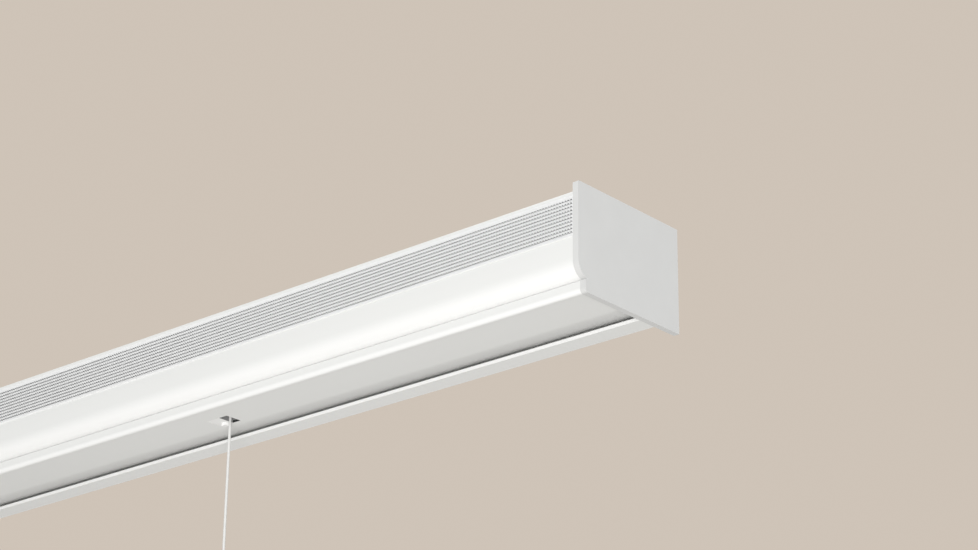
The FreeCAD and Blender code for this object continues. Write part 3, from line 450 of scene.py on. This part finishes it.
# The finish of each slot: a name, a colour, a roughness and its grain
FINISHES = {
    "rail_white": powder_coat(),
    "plate_white": moulded("end_plate_plastic", (0.735, 0.735, 0.728), 0.5),
    # The cradle's finish is white, with painted shade in mid-grey inside it
    "cradle_white": cradle_with_painted_shade(),
    "motor_head": moulded("motor_head_plastic", (0.70, 0.70, 0.70), 0.45),
    "bearing_acetal": moulded("bearing_acetal", (0.82, 0.80, 0.75), 0.35, depth=SATIN),
    "drum_acetal": moulded("drum_acetal", (0.84, 0.83, 0.80), 0.32, depth=SATIN),
    "keeper_clear": moulded("keeper_grey", (0.60, 0.63, 0.66), 0.4),
    "eyelet_acetal": moulded("eyelet_acetal", (0.55, 0.56, 0.56), 0.28, depth=POLISHED),
    "anchor_grey": moulded("anchor_grey", (0.22, 0.22, 0.22), 0.5),
    "coupling_black": moulded("coupling_black", (0.012, 0.012, 0.013), 0.5,
                              grain=COARSE_GRAIN, depth=COARSE),
    "button_grey": moulded("button_grey", (0.48, 0.49, 0.50), 0.3, depth=POLISHED),
    "fitting_white": moulded("fitting_white", (0.84, 0.84, 0.83), 0.28, depth=SATIN),
    "motor_case": metal("motor_case", (0.62, 0.63, 0.65), 0.4, (0.03, 1, 1)),
    "shaft_steel": metal("shaft_steel", (0.56, 0.57, 0.58), 0.34, (0.02, 1, 1)),
    "collar_zinc": metal("collar_zinc", (0.60, 0.61, 0.63), 0.3, (1, 0.1, 0.1)),
    "screw_steel": metal("screw_steel", (0.05, 0.05, 0.055), 0.42),
    "socket_metal": metal("socket_metal", (0.50, 0.50, 0.52), 0.3),
    "rivet_steel": metal("rivet_steel", (0.56, 0.57, 0.58), 0.36),
    "bracket_steel": galvanised("bracket_zinc", (0.60, 0.61, 0.63)),
    "lever_steel": galvanised("lever_zinc", (0.58, 0.59, 0.61)),
}


def dress_frame():
    """Give each node of the frame the finish of its slot."""
    for part in frame["record"]["subparts"]:
        finish = FINISHES.get(part["material_slot"])
        if finish is None:
            continue
        mesh = frame["nodes"][part["node"]].data
        mesh.materials.clear()
        mesh.materials.append(finish.material)


# Meshes

def add_object(name, points, faces, finish):
    """An object in the scene, smooth but for its sharp edges."""
    mesh = bpy.data.meshes.new(name)
    mesh.from_pydata(points, [], faces)
    mesh.polygons.foreach_set("use_smooth", [True] * len(mesh.polygons))
    mesh.set_sharp_from_angle(angle=SHARP_ANGLE)
    mesh.update()
    mesh.materials.append(finish.material)
    made = bpy.data.objects.new(name, mesh)
    bpy.context.scene.collection.objects.link(made)
    return made


def add_piece(name, points, faces, finish, body):
    """A piece of the part, which rides on a body."""
    piece = add_object(name, points, faces, finish)
    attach(piece, body)
    return piece


def tube_points(path, sides, radius_at):
    """Rings of points round a path. radius_at takes the angle and the length run so far."""
    points = []
    forward = (path[1] - path[0]).normalized()
    across = forward.orthogonal().normalized()
    run = 0.0
    for index, spot in enumerate(path):
        ahead = path[min(index + 1, len(path) - 1)] - path[max(index - 1, 0)]
        turn = forward.rotation_difference(ahead.normalized())
        across = (turn @ across).normalized()
        forward = ahead.normalized()
        other = forward.cross(across)
        if index:
            run += (spot - path[index - 1]).length
        for side in range(sides):
            angle = FULL_TURN * side / sides
            reach = radius_at(angle, run)
            points.append(spot + (across * math.cos(angle) + other * math.sin(angle)) * reach)
    return points


def tube_faces(rings, sides, first):
    """Faces between rings of points and over both ends. first is the first point's number."""
    faces = []
    for ring in range(rings - 1):
        for side in range(sides):
            low = first + ring * sides
            nearer, further = low + side, low + (side + 1) % sides
            faces.append((nearer, further, further + sides, nearer + sides))
    faces.append(tuple(first + side for side in reversed(range(sides))))
    faces.append(tuple(first + (rings - 1) * sides + side for side in range(sides)))
    return faces


def tubes(paths, sides, radius_at):
    """Points and faces of a closed tube round each path."""
    points, faces = [], []
    for path in paths:
        faces += tube_faces(len(path), sides, len(points))
        points += tube_points(path, sides, radius_at)
    return points, faces


# Cords

def braid_radius(angle, run):
    """The cord's radius where strands of two crossing lays meet its surface."""
    lay = FULL_TURN * run / BRAID_LAY
    one = math.cos(BRAID_STRANDS * angle / 2 + lay * BRAID_STRANDS / 2)
    other = math.cos(BRAID_STRANDS * angle / 2 - lay * BRAID_STRANDS / 2)
    return CORD_RADIUS - BRAID_RELIEF * (1 - max(abs(one), abs(other)))


def wound_radius(angle, run):
    """The wound cord has no strands, because little of it is seen."""
    return CORD_RADIUS


def along_route(points, resolution):
    """Points of the smooth line that a route's points control."""
    curve = bpy.data.curves.new("route", "CURVE")
    curve.dimensions = "3D"
    curve.resolution_u = resolution
    spline = curve.splines.new("NURBS")
    spline.points.add(len(points) - 1)
    for point, place in zip(spline.points, points):
        point.co = (*place, 1.0)
    spline.order_u = 3
    spline.use_endpoint_u = True
    holder = bpy.data.objects.new("route", curve)
    line = bpy.data.meshes.new_from_object(holder)
    spots = [vertex.co.copy() for vertex in line.vertices]
    bpy.data.objects.remove(holder)
    bpy.data.curves.remove(curve)
    bpy.data.meshes.remove(line)
    return spots


def lift_cord(side, braid):
    """The cord from its drum down to its end."""
    x = CORD_PLACES[side]
    route = [(x, CORD_Y, z) for z in (CORD_TOP, (CORD_TOP + CORD_END) / 2, CORD_END)]
    path = along_route(route, CORD_STEPS)
    points, faces = tubes([path], CORD_SIDES, braid_radius)
    cord = add_piece(f"lift_cord_{side}_braid", points, faces, braid, "headrail")
    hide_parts(f"lift_cord_{side}")
    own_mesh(cord)


def on_drum(x, turn):
    """A point of the wound cord's middle line after some turns."""
    angle = FULL_TURN * turn
    return Vector((x, AXIS_Y + WINDING_RADIUS * math.cos(angle),
                   AXIS_Z + WINDING_RADIUS * math.sin(angle)))


def wound_cord(side, braid):
    """One flat turn that the hanging cord leaves, then turns side by side to the left."""
    x = CORD_PLACES[side]
    pitch = CORD_RADIUS * 2
    steps = int((WINDING_LENGTH - pitch) / pitch * WINDING_STEPS)
    ring = [on_drum(x, step / WINDING_STEPS) for step in range(WINDING_STEPS + 1)]
    coil = [on_drum(x - pitch * (step / WINDING_STEPS + 1), step / WINDING_STEPS)
            for step in range(steps + 1)]
    points, faces = tubes([ring, coil], WINDING_SIDES, wound_radius)
    turns = add_piece(f"wound_cord_{side}_turns", points, faces, braid, "lift_shaft")
    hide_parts(f"wound_cord_{side}")


# Hook tape

def tape_section(top, bottom, face, back):
    """The ground's outline from top to bottom: a raised selvedge, ribs between, a selvedge."""
    outline = [(back, top), (face + TAPE_THICKNESS / 2, top)]
    steps = int((top - bottom) / RIB_PITCH * RIB_STEPS)
    for step in range(steps + 1):
        z = top + (bottom - top) * step / steps
        edge = min(top - z, z - bottom)
        rise = RIB_HEIGHT / 2 * (1 - math.cos(FULL_TURN * (top - z) / RIB_PITCH))
        if edge < SELVEDGE_WIDTH:
            rise = SELVEDGE_HEIGHT * math.sin(math.pi * edge / SELVEDGE_WIDTH)
        outline.append((face - rise, z))
    outline += [(face + TAPE_THICKNESS / 2, bottom), (back, bottom)]
    return outline


def tape_ground():
    """The woven strip that the hooks stand on, as long as the rail's front."""
    low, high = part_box("hook_tape")
    outline = tape_section(high.z, low.z, high.y - TAPE_THICKNESS, high.y)
    count = len(outline)
    points = [(x, y, z) for x in (low.x, high.x) for y, z in outline]
    faces = [(n, (n + 1) % count, (n + 1) % count + count, n + count) for n in range(count)]
    faces += [tuple(reversed(range(count))), tuple(range(count, 2 * count))]
    ground = add_piece("hook_tape_ground", points, faces, woven_ground(), "headrail")
    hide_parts("hook_tape")


def hook_radius(angle, run):
    """A hook is thickest at its bend and thins out to its foot and tip."""
    return HOOK_RADIUS * max(HOOK_THINNEST, 1 - HOOK_TAPER * abs(run - HOOK_BEND))


def hook_paths(rows, chance):
    """Middle lines of the hooks in some rows, from right to left, each with its own lean."""
    low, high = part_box("hook_tape")
    face = high.y - TAPE_THICKNESS
    count = int((high.x - low.x) / HOOK_PITCH)
    for row in rows:
        z = high.z - HOOK_FIRST_ROW - HOOK_ROW_PITCH * row
        for number in range(count):
            x = high.x - HOOK_END_GAP - HOOK_PITCH * number
            lean = chance.uniform(-HOOK_LEAN, HOOK_LEAN)
            yield [Vector((x + (right + lean * out) * MM, face - out * MM, z + up * MM))
                   for right, out, up in HOOK_LINE]


def tape_hooks():
    """All rows of hooks, in an upper and a lower mesh."""
    filament = hook_filament()
    chance = random.Random(HOOK_SEED)
    half = HOOK_ROWS // 2
    for name, rows in (("upper", range(half)), ("lower", range(half, HOOK_ROWS))):
        points, faces = tubes(hook_paths(rows, chance), HOOK_SIDES, hook_radius)
        add_piece(f"hook_tape_hooks_{name}", points, faces, filament, "headrail")


# Studio

def add_lamp(name, place, target, width, power):
    """A round lamp that shines from a place at a target, itself out of sight."""
    light = bpy.data.lights.new(name, "AREA")
    light.shape = "DISK"
    light.size = width
    light.energy = power
    lamp = bpy.data.objects.new(name, light)
    bpy.context.scene.collection.objects.link(lamp)
    lamp.location = place
    lamp.rotation_mode = "QUATERNION"
    lamp.rotation_quaternion = (Vector(target) - lamp.location).to_track_quat("-Z", "Y")
    lamp.visible_camera = False


def studio():
    """Lamps, and a world whose backdrop only the camera sees."""
    for name, lamp in LAMPS.items():
        add_lamp(name, *lamp)
    world = bpy.data.worlds.new("studio")
    world.use_nodes = True
    tree = world.node_tree
    ambient = tree.nodes["Background"]
    ambient.inputs["Color"].default_value = (*AMBIENT, 1.0)
    ambient.inputs["Strength"].default_value = AMBIENT_STRENGTH
    backdrop = tree.nodes.new("ShaderNodeBackground")
    backdrop.inputs["Color"].default_value = (*BACKDROP, 1.0)
    backdrop.inputs["Strength"].default_value = BACKDROP_STRENGTH
    mix = tree.nodes.new("ShaderNodeMixShader")
    rays = tree.nodes.new("ShaderNodeLightPath")
    tree.links.new(rays.outputs["Is Camera Ray"], mix.inputs["Fac"])
    tree.links.new(ambient.outputs["Background"], mix.inputs[1])
    tree.links.new(backdrop.outputs["Background"], mix.inputs[2])
    tree.links.new(mix.outputs["Shader"], tree.nodes["World Output"].inputs["Surface"])
    bpy.context.scene.world = world
    bpy.context.scene.view_settings.view_transform = "Standard"


def floor():
    """A wide pale floor far below the rail, which lights it from below."""
    corners = ((-1, -1), (1, -1), (1, 1), (-1, 1))
    points = [(x * FLOOR_REACH, y * FLOOR_REACH, FLOOR_LEVEL) for x, y in corners]
    pale = Finish("studio_floor", FLOOR_COLOUR, roughness=0.8)
    pale.vary_colour(pale.noise(*FLOOR_CLOUDS), share=0.02)
    ground = add_object("studio_floor", points, [(0, 1, 2, 3)], pale)


def camera():
    """The photo's camera, from its solved place, angles and focal length."""
    yaw, pitch, roll = CAMERA_YAW, CAMERA_PITCH, CAMERA_ROLL
    forward = Vector((-math.sin(yaw) * math.cos(pitch), math.cos(yaw) * math.cos(pitch),
                      math.sin(pitch)))
    level = Vector((math.cos(yaw), math.sin(yaw), 0.0))
    upright = level.cross(forward)
    right = level * math.cos(roll) + upright * math.sin(roll)
    up = upright * math.cos(roll) - level * math.sin(roll)
    eye = bpy.data.cameras.new("camera")
    eye.sensor_width = SENSOR_WIDTH
    eye.lens = FOCAL_PIXELS * SENSOR_WIDTH / IMAGE_WIDTH
    eye.clip_start, eye.clip_end = CAMERA_CLIP
    holder = bpy.data.objects.new("camera", eye)
    bpy.context.scene.collection.objects.link(holder)
    turn = Matrix((right, up, -forward)).transposed()
    holder.matrix_world = Matrix.Translation(CAMERA_PLACE) @ turn.to_4x4()
    bpy.context.scene.camera = holder


camera()
studio()
floor()
dress_frame()
braid = braided()
for side in SIDES:
    lift_cord(side, braid)
    wound_cord(side, braid)
tape_ground()
tape_hooks()
